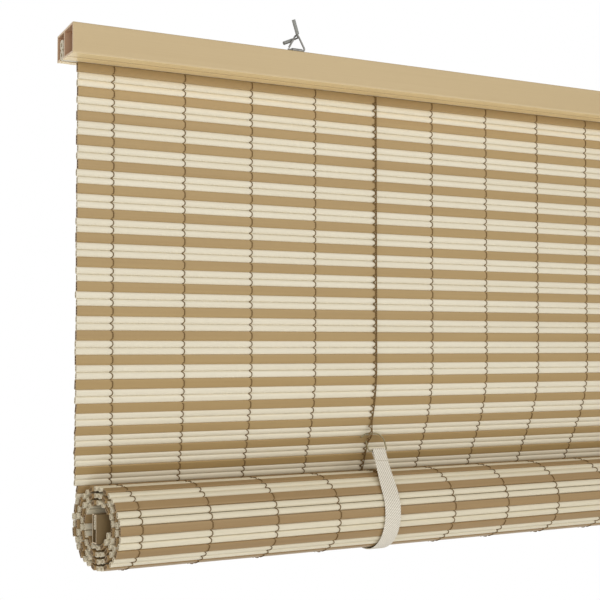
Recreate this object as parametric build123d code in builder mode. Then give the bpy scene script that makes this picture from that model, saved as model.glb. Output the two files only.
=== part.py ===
"""Roll-up shade: a slat mat hung from a hollow headrail, its lower part rolled up and held by two straps.

Frame: X runs along the headrail, -Y is the room side, +Z is up.
The origin is the middle of the headrail's flat rear face. All lengths are in millimetres.
"""
import os
from math import acos, atan2, cos, degrees, hypot, radians, sin

from build123d import *

# Headrail
rail_length = 1252.0
rail_depth = 50.0
rail_rear_height = 26.0
rail_front_rise = 4.0
rail_wall = 2.0
rail_bevel = 1.0
partition_from_front = 27.5
mat_from_rear = 13.0
mat_slot_width = 8.4
rail_groove_width = 1.2
rail_groove_depth = 0.6
rail_groove_from_front = 17.0
rod_end_inset = 0.3
rod_width = 10.0
rod_bevel = 2.8
rod_wall = 1.6

# Slats of the mat: one broad and two narrow ones in each repeat
slat_length = 1220.0
slat_thickness = 5.0
tan_width = 8.4
cream_width = 7.0
cream_bevel = 1.4
slat_gap = 0.53
slat_wall = 1.1
repeats = 48
cream_per_repeat = 2

# Route of the mat: straight drop, bow to the rear, straight lean, then round the roll
mat_drop_gap = 0.4
straight_drop = 297.0
bow_radius = 142.0
bow_angle = 31.0
lean_length = 75.5
outer_turn_radius = 43.0
turn_pitch = 6.9

# Sideways creep of the slats in the hand-wound roll
creep_rear = 17.5
creep_front = 39.0

# Bottom rail at the core of the roll
core_height = 29.0
core_thickness = 12.0
core_wall = 1.2
core_slot_width = 3.0

# Strings that hold the slats
string_count = 16
string_margin = 37.0
string_width = 1.1
string_thickness = 0.5
string_clearance = 0.45
string_end_gap = 0.05
string_lean_shift = 20.4
string_lean_step = 1.8
string_roll_shift = 27.0
string_roll_step = 1.5
bow_steps = 6
roll_steps = 32
string_end_turn = 280.0
ladder_place = 4
ladder_width = 2.0
ladder_thickness = 0.9

# Straps and their wire hooks
strap_width = 20.0
strap_from_cord = 5.2
strap_thickness = 1.2
strap_clearance = 0.3
strap_fold = 13.0
hook_wire_radius = 0.8
hook_width = 24.0
hook_height = 21.0
hook_arm_height = 12.0
hook_tip_reach = 5.0
hook_tip_drop = 4.0
hook_arch_radius = 10.0
hook_shoulder = 3.0
ladder_lift_reach = 17.0
hook_corner_radius = 3.0
hook_play = 1.8
hook_above_roll = 71.3

# Hangers on the headrail
hanger_inset = 244.0
hanger_from_front = 5.0
bail_wire_radius = 1.0
bail_width = 21.0
bail_height = 18.5
bail_corner_radius = 2.2
bail_eye_radius = 2.8
bail_mouth = 2.2
clip_width = 12.0
clip_sheet = 0.7
clip_leaf = 14.0
running_clearance = 0.3
rivet_radius = 1.5
rivet_head_radius = 2.4
rivet_head_height = 0.9
rivet_from_knuckle = 8.0
rivet_clearance = 0.1
swing_wire_radius = 0.9
swing_pin_length = 7.0
swing_bend_radius = 1.5
upper_leg_lean = 18.0
upper_leg_length = 19.0
lower_leg_drop = 24.0
lower_leg_length = 15.0
sleeve_radius = 1.9
sleeve_cover = 3.4
sleeve_end_wall = 0.8
sleeve_clearance = 0.1

# Working values of the headrail
rail_bottom = -rail_rear_height / 2
rail_rear_top = rail_rear_height / 2
rail_front_top = rail_rear_top + rail_front_rise
rail_slope = rail_front_rise / rail_depth
rail_tilt = degrees(atan2(rail_front_rise, rail_depth))
partition_y = partition_from_front - rail_depth
mat_y = -mat_from_rear

# Working values of the mat's route, in the plane of Y and Z
half_slat = slat_thickness / 2
repeat_length = tan_width + cream_per_repeat * cream_width + (cream_per_repeat + 1) * slat_gap
mat_top = rail_bottom - mat_drop_gap
bow_center = (mat_y + bow_radius, mat_top - straight_drop)
bow_length = bow_radius * radians(bow_angle)
hanging_length = straight_drop + bow_length + lean_length
hanging_repeats = hanging_length // repeat_length
last_hanging = hanging_repeats * repeat_length
lean_rear = (sin(radians(bow_angle)), -cos(radians(bow_angle)))
lean_normal = (cos(radians(bow_angle)), sin(radians(bow_angle)))
lean_top = (bow_center[0] - bow_radius * lean_normal[0], bow_center[1] - bow_radius * lean_normal[1])
nip = (lean_top[0] + lean_length * lean_rear[0], lean_top[1] + lean_length * lean_rear[1])
rear_center = (nip[0] - outer_turn_radius * lean_normal[0], nip[1] - outer_turn_radius * lean_normal[1])
front_center = (rear_center[0], rear_center[1] - turn_pitch / 2)
front_turn_radius = outer_turn_radius - turn_pitch / 2
first_turn = bow_angle + 90
slat_start = -slat_length / 2
creep_middle = (creep_front + creep_rear) / 2
creep_slope = (creep_front - creep_rear) / (2 * outer_turn_radius)
nip_creep = creep_middle - creep_slope * (nip[0] - rear_center[0])


def turn_arc(number):
    """Center, radius, start angle and sweep of one arc of the roll, counted inwards."""
    radius = outer_turn_radius - number * turn_pitch / 2
    if number == 0:
        return rear_center, radius, bow_angle, first_turn
    center = front_center if number % 2 else rear_center
    return center, radius, bow_angle - first_turn - 180 * (number - 1), 180


def mat_point(distance):
    """Place of the mat's middle after a distance along it: Y, Z and the angle of its rear normal."""
    if distance <= straight_drop:
        return mat_y, mat_top - distance, 0
    if distance <= straight_drop + bow_length:
        angle = (distance - straight_drop) / bow_radius
        return (
            bow_center[0] - bow_radius * cos(angle),
            bow_center[1] - bow_radius * sin(angle),
            degrees(angle),
        )
    if distance <= hanging_length:
        run = distance - straight_drop - bow_length
        return lean_top[0] + run * lean_rear[0], lean_top[1] + run * lean_rear[1], bow_angle
    rest = distance - hanging_length
    number = 0
    center, radius, start, sweep = turn_arc(number)
    while rest > radius * radians(sweep):
        rest -= radius * radians(sweep)
        number += 1
        center, radius, start, sweep = turn_arc(number)
    angle = start - degrees(rest / radius)
    return center[0] + radius * cos(radians(angle)), center[1] + radius * sin(radians(angle)), angle


def creep(distance, y):
    """Sideways shift of a slat: none on the straight drop, growing to the roll, most at its front."""
    if distance >= hanging_length:
        return creep_middle - creep_slope * (y - rear_center[0])
    return nip_creep * (y - mat_y) / (nip[0] - mat_y)


def slat_plane(distance):
    """Plane of a slat's section: local X along the mat, local Y to its rear, extruded along X."""
    y, z, angle = mat_point(distance)
    along = (0, sin(radians(angle)), -cos(radians(angle)))
    return Plane((slat_start + creep(distance, y), y, z), x_dir=along, z_dir=(1, 0, 0))


def tan_distances():
    """Distances along the mat to the middles of the broad slats."""
    return [number * repeat_length + tan_width / 2 for number in range(repeats)]


def cream_distances():
    """Distances along the mat to the middles of the narrow slats."""
    step = cream_width + slat_gap
    first = tan_width + slat_gap + cream_width / 2
    return [n * repeat_length + first + k * step for n in range(repeats) for k in range(cream_per_repeat)]


def rail_top(y):
    """Height of the headrail's sloping top at a place in its depth."""
    return rail_rear_top - rail_slope * y


def cream_section():
    """Hollow section of a narrow slat, flat faced with bevelled corners."""
    outline = Rectangle(cream_width, slat_thickness)
    chamfer(outline.vertices(), length=cream_bevel)
    Rectangle(cream_width - 2 * slat_wall, slat_thickness - 2 * slat_wall, mode=Mode.SUBTRACT)


# Headrail: two chambers, with a slot for the mat in the floor of the rear one
with BuildPart() as headrail:
    with BuildSketch(Plane.YZ.offset(-rail_length / 2)):
        with BuildLine():
            Polyline(
                (0, rail_bottom),
                (-rail_depth + rail_bevel, rail_bottom),
                (-rail_depth, rail_bottom + rail_bevel),
                (-rail_depth, rail_front_top - rail_bevel),
                (-rail_depth + rail_bevel, rail_top(rail_bevel - rail_depth)),
                (0, rail_rear_top),
                close=True,
            )
        make_face()
        for front, rear in (
            (rail_wall - rail_depth, partition_y - rail_wall / 2),
            (partition_y + rail_wall / 2, -rail_wall),
        ):
            with BuildLine():
                Polyline(
                    (rear, rail_bottom + rail_wall),
                    (front, rail_bottom + rail_wall),
                    (front, rail_top(front) - rail_wall),
                    (rear, rail_top(rear) - rail_wall),
                    close=True,
                )
            make_face(mode=Mode.SUBTRACT)
        with Locations((mat_y, rail_bottom + rail_wall / 2)):
            Rectangle(mat_slot_width, rail_wall, mode=Mode.SUBTRACT)
        with Locations((rail_groove_from_front - rail_depth, rail_bottom + rail_groove_depth / 2)):
            Rectangle(rail_groove_width, rail_groove_depth, mode=Mode.SUBTRACT)
    extrude(amount=rail_length)
    hanger_x = rail_length / 2 - hanger_inset
    hanger_y = hanger_from_front - rail_depth
    rail_normal = (0, sin(radians(rail_tilt)), cos(radians(rail_tilt)))
    rail_rearward = (0, cos(radians(rail_tilt)), -sin(radians(rail_tilt)))
    rivet_y = hanger_y + rivet_from_knuckle * rail_rearward[1]
    for side in (-1, 1):
        rivet_seat = (side * hanger_x, rivet_y, rail_top(rivet_y))
        with BuildSketch(Plane(rivet_seat, x_dir=(1, 0, 0), z_dir=rail_normal)):
            Circle(rivet_radius + rivet_clearance)
        extrude(amount=-2 * rail_wall, mode=Mode.SUBTRACT)
headrail.part.label = "headrail"

# Two round-cornered rods that lock the mat's upper end; the lower one lies in the slot's lips
rod_length = rail_length - 2 * rod_end_inset
rod_sink = mat_slot_width / 2 - (rod_width / 2 - rod_bevel)
rod_foot = rail_bottom + rail_wall - rod_sink
lower_rod_z = rod_foot + rod_width / 2
upper_rod_z = lower_rod_z + rod_width


def rod_section():
    """Hollow section of a rod, with broad bevels."""
    outline = Rectangle(rod_width, rod_width)
    chamfer(outline.vertices(), length=rod_bevel)
    Rectangle(rod_width - 2 * rod_wall - rod_bevel, rod_width - 2 * rod_wall - rod_bevel, mode=Mode.SUBTRACT)


def long_rod(section, x, y, z, length):
    """A rod of a section standing on edge, from X along the rail."""
    with BuildPart() as rod:
        with BuildSketch(Plane((x, y, z), x_dir=(0, 0, 1), z_dir=(1, 0, 0))):
            section()
        extrude(amount=length)
    return rod


top_rod_upper = long_rod(rod_section, -rod_length / 2, mat_y, upper_rod_z, rod_length)
top_rod_upper.part.label = "top_rod_upper"
top_rod_lower = long_rod(rod_section, -rod_length / 2, mat_y, lower_rod_z, rod_length)
top_rod_lower.part.label = "top_rod_lower"

# One broad and one narrow slat, copied along the mat
with BuildPart() as tan_slat:
    with BuildSketch():
        Rectangle(tan_width, slat_thickness)
        chamber = (tan_width - 3 * slat_wall) / 2
        with GridLocations(chamber + slat_wall, 0, 2, 1):
            Rectangle(chamber, slat_thickness - 2 * slat_wall, mode=Mode.SUBTRACT)
    extrude(amount=slat_length)
with BuildPart() as cream_slat:
    with BuildSketch():
        cream_section()
    extrude(amount=slat_length)


def slat_group(slat, distances):
    """Copies of a slat at distances along the mat, as separate solids."""
    with BuildPart() as group:
        with Locations(*[Location(slat_plane(distance)) for distance in distances]):
            add(slat.part)
    return group


hanging_tan_slats = slat_group(tan_slat, [d for d in tan_distances() if d < last_hanging])
hanging_tan_slats.part.label = "hanging_tan_slats"
hanging_cream_slats = slat_group(cream_slat, [d for d in cream_distances() if d < last_hanging])
hanging_cream_slats.part.label = "hanging_cream_slats"
rolled_tan_slats = slat_group(tan_slat, [d for d in tan_distances() if d >= last_hanging])
rolled_tan_slats.part.label = "rolled_tan_slats"
rolled_cream_slats = slat_group(cream_slat, [d for d in cream_distances() if d >= last_hanging])
rolled_cream_slats.part.label = "rolled_cream_slats"

# Bottom rail: a flat hollow bar at the core, with the mat's lower end locked in its upper edge
core_start = slat_start + creep_middle
core_top = front_center[1] + core_height / 2
with BuildPart() as bottom_rail:
    with BuildSketch(Plane((core_start, *front_center), x_dir=(0, 1, 0), z_dir=(1, 0, 0))):
        Rectangle(core_thickness, core_height)
        Rectangle(core_thickness - 2 * core_wall, core_height - 2 * core_wall, mode=Mode.SUBTRACT)
        with Locations((0, core_height / 2 - core_wall / 2)):
            Rectangle(core_slot_width, core_wall, mode=Mode.SUBTRACT)
    extrude(amount=slat_length)
bottom_rail.part.label = "bottom_rail"

core_rod_z = core_top - core_wall - cream_width / 2
core_rod_length = slat_length - 2 * rod_end_inset
core_rod_start = core_start + rod_end_inset
bottom_rod_upper = long_rod(cream_section, core_rod_start, front_center[0], core_rod_z, core_rod_length)
bottom_rod_upper.part.label = "bottom_rod_upper"
lower_core_rod_z = core_rod_z - cream_width
bottom_rod_lower = long_rod(cream_section, core_rod_start, front_center[0], lower_core_rod_z, core_rod_length)
bottom_rod_lower.part.label = "bottom_rod_lower"

# Strings: a strip on the face of the hanging mat, and one round the outside of the roll
string_step = (slat_length - 2 * string_margin) / (string_count - 1)
ladder_places = (ladder_place, string_count - 1 - ladder_place)
roll_front_y = rear_center[0] - outer_turn_radius


def string_x(place):
    """Distance along the rail of one string, counted from the left."""
    return slat_start + string_margin + place * string_step


def face_offset(thickness):
    """Distance of a strip's middle from the mat's middle."""
    return half_slat + string_clearance + thickness / 2


def beside(distance, offset):
    """A point beside the mat, with the offset measured to its rear."""
    y, z, angle = mat_point(distance)
    return y + offset * cos(radians(angle)), z + offset * sin(radians(angle))


def hanging_points(offset):
    """Route of a string on the mat's face: from the lower rod through the slot to the end of the bow."""
    top = rod_foot + half_slat + string_clearance - (rod_width / 2 - rod_bevel) - string_end_gap
    bow = [beside(straight_drop + step * bow_length / bow_steps, offset) for step in range(bow_steps + 1)]
    return [(mat_y + offset, top), *bow]


def roll_points(offset):
    """Route of a string round the outside of the roll's outer turn."""
    points = []
    for step in range(roll_steps + 1):
        angle = bow_angle - step * (bow_angle + string_end_turn) / roll_steps
        center, radius = rear_center, outer_turn_radius + offset
        if angle < -90:
            center, radius = front_center, front_turn_radius + offset
        points.append((center[0] + radius * cos(radians(angle)), center[1] + radius * sin(radians(angle))))
    return points


def strip(x, y, slant, points, width, thickness):
    """A strip along points in Y and Z, slanting sideways by a share of its way to the rear from Y."""
    stretch = hypot(1, slant)
    with BuildPart() as band:
        with BuildSketch(Plane((x, y, 0), x_dir=(slant, 1, 0), z_dir=(1, -slant, 0))):
            with BuildLine():
                Polyline(*[((point[0] - y) * stretch, point[1]) for point in points])
            trace(line_width=thickness)
        extrude(amount=width / 2, both=True)
    return band.part


def lean_slant(place):
    """Sideways slant of one string on the bow and the lean."""
    return (string_lean_shift - place * string_lean_step) / (nip[0] - mat_y)


with BuildPart() as warp_strings:
    outside = face_offset(string_thickness)
    for place in range(string_count):
        if place in ladder_places:
            continue
        hanging = [*hanging_points(-outside), beside(hanging_length, -outside)]
        add(strip(string_x(place), mat_y, lean_slant(place), hanging, string_width, string_thickness))
        roll_x = string_x(place) + string_roll_shift - place * string_roll_step
        rolled = roll_points(outside)
        add(strip(roll_x, roll_front_y, -creep_slope, rolled, string_width, string_thickness))
warp_strings.part.label = "warp_strings"

# Place of the strap hooks: the hook's top wire lies between the slats and the lifted ladder cord
hook_distance = hanging_length - hook_above_roll
hook_offset = -(half_slat + hook_play + hook_wire_radius)
hook_top = beside(hook_distance, hook_offset)
strap_offset = face_offset(ladder_thickness) + ladder_thickness / 2 + strap_clearance + strap_thickness / 2
strap_front_radius = front_turn_radius + strap_offset
to_hook = (hook_top[0] - front_center[0], hook_top[1] - front_center[1])
touch_angle = degrees(atan2(to_hook[1], to_hook[0]) + acos(strap_front_radius / hypot(*to_hook)))
touch = (
    front_center[0] + strap_front_radius * cos(radians(touch_angle)),
    front_center[1] + strap_front_radius * sin(radians(touch_angle)),
)
pull = (-sin(radians(touch_angle)), cos(radians(touch_angle)))
hook_base = (hook_top[0] + hook_height * pull[0], hook_top[1] + hook_height * pull[1])
seam = (hook_base[0] + strap_fold * pull[0], hook_base[1] + strap_fold * pull[1])


def strap_x(place):
    """Distance along the rail of a strap, beside the place where its hook catches the ladder cord."""
    return string_x(place) + lean_slant(place) * (hook_top[0] - mat_y) + strap_from_cord


def ladder_cord(place):
    """A thicker cord on the face of the mat, lifted over the hook's top wire, and one under the strap."""
    outside = face_offset(ladder_thickness)
    lift = hook_offset - hook_wire_radius - hook_play - ladder_thickness / 2
    leave = hook_distance - ladder_lift_reach
    hanging = [point for point in hanging_points(-outside) if point[1] > beside(leave, 0)[1]]
    hanging += [beside(leave, -outside), beside(hook_distance - hook_play, lift)]
    hanging += [beside(hook_distance + hook_play, lift), beside(hook_distance + ladder_lift_reach, -outside)]
    hanging += [beside(hanging_length, -outside)]
    with BuildPart() as cord:
        add(strip(string_x(place), mat_y, lean_slant(place), hanging, ladder_width, ladder_thickness))
        add(strip(strap_x(place), mat_y, 0, roll_points(outside), ladder_width, ladder_thickness))
    return cord


ladder_cord_left = ladder_cord(ladder_places[0])
ladder_cord_left.part.label = "ladder_cord_left"
ladder_cord_right = ladder_cord(ladder_places[1])
ladder_cord_right.part.label = "ladder_cord_right"


def strap(place):
    """Webbing sewn double round the hook's base, then down the front, under the roll and up its rear."""
    eye_radius = hook_wire_radius + running_clearance
    loop_plane = Plane(
        (strap_x(place) - strap_width / 2, *hook_base), x_dir=(0, *pull), z_dir=(1, 0, 0)
    )
    with BuildPart() as webbing:
        with BuildSketch(Plane.YZ.offset(strap_x(place) - strap_width / 2)):
            with BuildLine():
                Line(seam, touch)
                CenterArc(front_center, strap_front_radius, touch_angle, 270 - touch_angle)
                CenterArc(rear_center, outer_turn_radius + strap_offset, -90, first_turn)
                Line(beside(hanging_length, strap_offset), beside(hanging_length - lean_length, strap_offset))
            trace(line_width=strap_thickness)
        extrude(amount=strap_width)
        with BuildSketch(loop_plane):
            Circle(eye_radius + strap_thickness)
            with Locations((strap_fold / 2, 0)):
                Rectangle(strap_fold, 2 * strap_thickness)
            Circle(eye_radius, mode=Mode.SUBTRACT)
        extrude(amount=strap_width)
    return webbing


strap_left = strap(ladder_places[0])
strap_left.part.label = "strap_left"
strap_right = strap(ladder_places[1])
strap_right.part.label = "strap_right"


def strap_hook(place):
    """Wire hook: a base in the strap's loop, two sides, and a top wire whose tip stands out to the left."""
    plane = Plane((strap_x(place), *hook_base), x_dir=(1, 0, 0), z_dir=(0, pull[1], -pull[0]))
    half = hook_width / 2
    with BuildPart() as hook:
        with BuildLine(plane) as wire:
            FilletPolyline(
                (-half - hook_tip_reach, hook_height - hook_tip_drop),
                (hook_shoulder - half, hook_height),
                (half, hook_height),
                (half, 0),
                (-half, 0),
                (-half, hook_arm_height),
                radius=(hook_arch_radius, hook_arch_radius, hook_corner_radius, hook_corner_radius),
            )
        with BuildSketch(Plane(wire.line @ 0, z_dir=wire.line % 0)):
            Circle(hook_wire_radius)
        sweep()
    return hook


strap_hook_left = strap_hook(ladder_places[0])
strap_hook_left.part.label = "strap_hook_left"
strap_hook_right = strap_hook(ladder_places[1])
strap_hook_right.part.label = "strap_hook_right"

# Hangers: a folded clip riveted to the rail, a wire bail in its knuckle and a wire hook in the bail's eye
knuckle_radius = bail_wire_radius + running_clearance + clip_sheet
bail_axis = (hanger_y + knuckle_radius * rail_normal[1], rail_top(hanger_y) + knuckle_radius * rail_normal[2])
bail_half_angle = atan2(bail_width / 2, bail_height)
eye_z = bail_axis[1] + bail_height - bail_eye_radius / sin(bail_half_angle)


def hanger_clip(x):
    """Folded sheet: a knuckle round the bail's base and a double leaf on the rail's top."""
    plane = Plane((x - clip_width / 2, hanger_y, rail_top(hanger_y)), x_dir=rail_rearward, z_dir=(1, 0, 0))
    with BuildPart() as clip:
        with BuildSketch(plane):
            with Locations((0, knuckle_radius)):
                Circle(knuckle_radius)
            with Locations((bail_wire_radius, 0)):
                Rectangle(clip_leaf, 2 * clip_sheet, align=(Align.MIN, Align.MIN))
            with Locations((0, knuckle_radius)):
                Circle(knuckle_radius - clip_sheet, mode=Mode.SUBTRACT)
        extrude(amount=clip_width)
        with BuildSketch(Plane((x, rivet_y, rail_top(rivet_y)), x_dir=(1, 0, 0), z_dir=rail_normal)):
            Circle(rivet_radius + rivet_clearance)
        extrude(amount=2 * clip_sheet, mode=Mode.SUBTRACT)
    return clip


def clip_rivet(x):
    """Rivet through the clip's leaf and the rail's top wall, with a head above and a tail below."""
    head = 2 * clip_sheet
    seat = (x, rivet_y, rail_top(rivet_y))
    plane = Plane(seat, x_dir=(1, 0, 0), z_dir=(0, -rail_normal[2], rail_normal[1]))
    with BuildPart() as rivet:
        with BuildSketch(plane):
            with BuildLine():
                Polyline(
                    (0, head + rivet_head_height),
                    (rivet_radius, head + rivet_head_height),
                    (rivet_head_radius, head),
                    (rivet_radius, head),
                    (rivet_radius, -rail_wall),
                    (rivet_head_radius, -rail_wall),
                    (rivet_head_radius, -rail_wall - rivet_head_height),
                    (0, -rail_wall - rivet_head_height),
                    close=True,
                )
            make_face()
        revolve(axis=Axis(seat, rail_normal))
    return rivet


def hanger_bail(x):
    """Triangle of wire with a rounded eye at its top and an open corner at its lower left."""
    half = bail_width / 2
    mouth_x = half * (1 - bail_mouth / bail_height)
    with BuildPart() as bail:
        with BuildLine(Plane((x, *bail_axis), x_dir=(1, 0, 0), z_dir=(0, -1, 0))) as wire:
            FilletPolyline(
                (-half, 0),
                (half, 0),
                (0, bail_height),
                (-mouth_x, bail_mouth),
                radius=(bail_corner_radius, bail_eye_radius),
            )
        with BuildSketch(Plane(wire.line @ 0, z_dir=wire.line % 0)):
            Circle(bail_wire_radius)
        sweep()
    return bail


upper_way = Vector(-sin(radians(upper_leg_lean)), 0, cos(radians(upper_leg_lean)))
lower_way = Vector(-cos(radians(lower_leg_drop)), 0, -sin(radians(lower_leg_drop)))


def eye_point(x, share):
    """A point on the wire hook's pin, by its share of half the pin's length from the bail."""
    return Vector(x, bail_axis[0] + share * swing_pin_length / 2, eye_z)


def hanger_hook(x):
    """Wire hook: a pin through the bail's eye, one leg up in front and one leg out to the left behind."""
    front = eye_point(x, -1)
    rear = eye_point(x, 1)
    with BuildPart() as hook:
        with BuildLine() as wire:
            FilletPolyline(
                front + upper_way * (upper_leg_length - sleeve_end_wall - sleeve_clearance),
                front,
                rear,
                rear + lower_way * (lower_leg_length - sleeve_end_wall - sleeve_clearance),
                radius=swing_bend_radius,
            )
        with BuildSketch(Plane(wire.line @ 0, z_dir=wire.line % 0)):
            Circle(swing_wire_radius)
        sweep()
    return hook


def hook_sleeve(corner, way, length):
    """Closed-end tube pushed over one leg of the wire hook."""
    with BuildPart() as sleeve:
        with BuildSketch(Plane(corner + way * sleeve_cover, z_dir=way)):
            Circle(sleeve_radius)
        extrude(amount=length - sleeve_cover)
        with BuildSketch(Plane(corner + way * sleeve_cover, z_dir=way)):
            Circle(swing_wire_radius + sleeve_clearance)
        extrude(amount=length - sleeve_cover - sleeve_end_wall, mode=Mode.SUBTRACT)
    return sleeve


pieces = [
    headrail, top_rod_upper, top_rod_lower,
    hanging_tan_slats, hanging_cream_slats, rolled_tan_slats, rolled_cream_slats,
    bottom_rail, bottom_rod_upper, bottom_rod_lower,
    warp_strings, ladder_cord_left, ladder_cord_right,
    strap_left, strap_right, strap_hook_left, strap_hook_right,
]
for side, place in (("left", -hanger_x), ("right", hanger_x)):
    for name, piece in (
        ("hanger_clip", hanger_clip(place)),
        ("clip_rivet", clip_rivet(place)),
        ("hanger_bail", hanger_bail(place)),
        ("hanger_hook", hanger_hook(place)),
        ("hook_sleeve_upper", hook_sleeve(eye_point(place, -1), upper_way, upper_leg_length)),
        ("hook_sleeve_lower", hook_sleeve(eye_point(place, 1), lower_way, lower_leg_length)),
    ):
        piece.part.label = f"{name}_{side}"
        pieces.append(piece)

os.makedirs("parts", exist_ok=True)
for piece in pieces:
    export_step(piece.part, f"parts/{piece.part.label}.step")
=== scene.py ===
"""Roll-up slat shade: the looks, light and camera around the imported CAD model.

Everything is in metres, in the CAD frame: X along the headrail, -Y to the room, +Z up.
"""
from __future__ import annotations

import logging
import math
from dataclasses import dataclass, field, replace
from enum import Enum
from functools import cache

import bpy
import numpy as np
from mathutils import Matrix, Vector


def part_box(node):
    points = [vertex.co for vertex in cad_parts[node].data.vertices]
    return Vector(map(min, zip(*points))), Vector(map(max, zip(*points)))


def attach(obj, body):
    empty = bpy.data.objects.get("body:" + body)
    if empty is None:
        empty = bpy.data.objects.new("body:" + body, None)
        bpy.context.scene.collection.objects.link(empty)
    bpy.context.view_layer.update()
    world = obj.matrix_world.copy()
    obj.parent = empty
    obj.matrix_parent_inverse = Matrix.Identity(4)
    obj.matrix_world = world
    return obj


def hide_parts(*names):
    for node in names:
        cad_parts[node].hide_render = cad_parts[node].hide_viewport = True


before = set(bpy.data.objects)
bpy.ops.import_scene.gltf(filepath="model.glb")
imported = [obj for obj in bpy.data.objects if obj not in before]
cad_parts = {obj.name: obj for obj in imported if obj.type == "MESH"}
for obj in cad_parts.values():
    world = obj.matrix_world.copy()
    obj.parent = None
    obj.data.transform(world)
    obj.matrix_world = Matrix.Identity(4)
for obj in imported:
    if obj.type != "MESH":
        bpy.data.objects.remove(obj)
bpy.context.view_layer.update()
MM = 0.001
SIDES = ("left", "right")
log = logging.getLogger("shade")

Triple = tuple[float, float, float]
Places = tuple[np.ndarray, np.ndarray, np.ndarray]  # Y, Z and the angle of the mat's rear normal
Piece = bpy.types.Object
Socket = bpy.types.NodeSocket


class Body(str, Enum):
    """The CAD bodies that pieces of the shade ride on."""

    SHADE = "shade"


class Face(Enum):
    """The side of the mat that a twine lies on, as the sign of its offset."""

    ROOM = -1
    WINDOW = 1


# Route of the mat


@dataclass(frozen=True)
class MatRoute:
    """The mat's way from the headrail down, round the bow and into the roll.

    The sizes repeat those of the CAD model, in metres and degrees.
    """

    plane_y: float = -13 * MM
    top_z: float = -13.4 * MM
    straight_drop: float = 297 * MM
    bow_radius: float = 142 * MM
    bow_angle: float = 31.0
    lean_length: float = 75.5 * MM
    outer_turn: float = 43 * MM
    turn_pitch: float = 6.9 * MM
    creep_rear: float = 17.5 * MM
    creep_front: float = 39 * MM
    hook_above_roll: float = 71.3 * MM
    half_turns: int = 8

    @property
    def bow_length(self) -> float:
        """Length of the bow's arc."""
        return self.bow_radius * math.radians(self.bow_angle)

    @property
    def hanging_length(self) -> float:
        """Length of the mat from its top to the roll."""
        return self.straight_drop + self.bow_length + self.lean_length

    @property
    def catch_run(self) -> float:
        """Distance along the mat to the wire catches of the straps."""
        return self.hanging_length - self.hook_above_roll

    @property
    def bow_center(self) -> np.ndarray:
        """Centre of the bow, as Y and Z."""
        return np.array([self.plane_y + self.bow_radius, self.top_z - self.straight_drop])

    @property
    def lean_normal(self) -> np.ndarray:
        """Rear normal of the leaning stretch, as Y and Z."""
        lean = math.radians(self.bow_angle)
        return np.array([math.cos(lean), math.sin(lean)])

    @property
    def lean_way(self) -> np.ndarray:
        """Downward direction of the leaning stretch, as Y and Z."""
        lean = math.radians(self.bow_angle)
        return np.array([math.sin(lean), -math.cos(lean)])

    @property
    def nip(self) -> np.ndarray:
        """Point where the mat meets the roll."""
        return self.bow_center - self.bow_radius * self.lean_normal + self.lean_length * self.lean_way

    @property
    def rear_center(self) -> np.ndarray:
        """Centre of the roll's rear half-turns."""
        return self.nip - self.outer_turn * self.lean_normal

    @property
    def front_center(self) -> np.ndarray:
        """Centre of the roll's front half-turns."""
        return self.rear_center - np.array([0, self.turn_pitch / 2])

    @property
    def creep_slope(self) -> float:
        """Sideways shift of the roll's slats for each metre to the front."""
        return (self.creep_front - self.creep_rear) / (2 * self.outer_turn)

    def place(self, distance: np.ndarray) -> Places:
        """Place of the mat's middle after each distance along it.

        The straight drop is a line, the bow and the roll's half-turns are arcs that join smoothly.

        Args:
            distance: Distances from the mat's top edge.
        Returns:
            Y, Z and the angle of the rear normal in radians, as arrays of the same shape.
        """
        run = np.asarray(distance, float)
        angle = np.clip((run - self.straight_drop) / self.bow_radius, 0, math.radians(self.bow_angle))
        y = self.bow_center[0] - self.bow_radius * np.cos(angle)
        z = self.bow_center[1] - self.bow_radius * np.sin(angle)
        z = np.where(run < self.straight_drop, self.top_z - run, z)
        lean = np.clip(run - self.straight_drop - self.bow_length, 0, self.lean_length)
        y = y + lean * self.lean_way[0]
        z = z + lean * self.lean_way[1]
        start = self.hanging_length
        turn = math.radians(self.bow_angle)
        for number in range(self.half_turns):
            radius = self.outer_turn - number * self.turn_pitch / 2
            sweep = turn + math.pi / 2 if number == 0 else math.pi
            center = self.front_center if number % 2 else self.rear_center
            here = run >= start
            arc = turn - (run - start) / radius
            angle = np.where(here, arc, angle)
            y = np.where(here, center[0] + radius * np.cos(arc), y)
            z = np.where(here, center[1] + radius * np.sin(arc), z)
            start += radius * sweep
            turn -= sweep
        return y, z, angle

    def creep(self, distance: np.ndarray, y: np.ndarray) -> np.ndarray:
        """Sideways shift of the slats: none on the drop, growing down the lean, most at the roll's front.

        Args:
            distance: Distances along the mat.
            y: Y of the mat there.
        Returns:
            The shift along X.
        """
        slope = self.creep_slope
        middle = (self.creep_front + self.creep_rear) / 2
        in_roll = middle - slope * (y - self.rear_center[0])
        at_nip = middle - slope * (self.nip[0] - self.rear_center[0])
        hanging = at_nip * (y - self.plane_y) / (self.nip[0] - self.plane_y)
        return np.where(np.asarray(distance) >= self.hanging_length, in_roll, hanging)

    def beside(self, distance: np.ndarray, offset: np.ndarray) -> tuple[np.ndarray, np.ndarray]:
        """Y and Z of points beside the mat's middle, with the offset measured along its rear normal."""
        y, z, angle = self.place(distance)
        return y + offset * np.cos(angle), z + offset * np.sin(angle)


ROUTE = MatRoute()


# Lines and meshes from arrays

TUBE_HELPER = np.array([0.9, 0.3, 0.1])  # a direction that no tube follows
TUBE_TIP = 0.02  # share of the radius that is left at a tube's ends


def unit(vectors: np.ndarray) -> np.ndarray:
    """Vectors of the same directions with length 1."""
    return vectors / np.linalg.norm(vectors, axis=-1, keepdims=True)


def smooth(share: np.ndarray) -> np.ndarray:
    """Smooth step 3 s^2 - 2 s^3, with s kept from 0 to 1."""
    share = np.clip(share, 0, 1)
    return share**2 * (3 - 2 * share)


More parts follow.
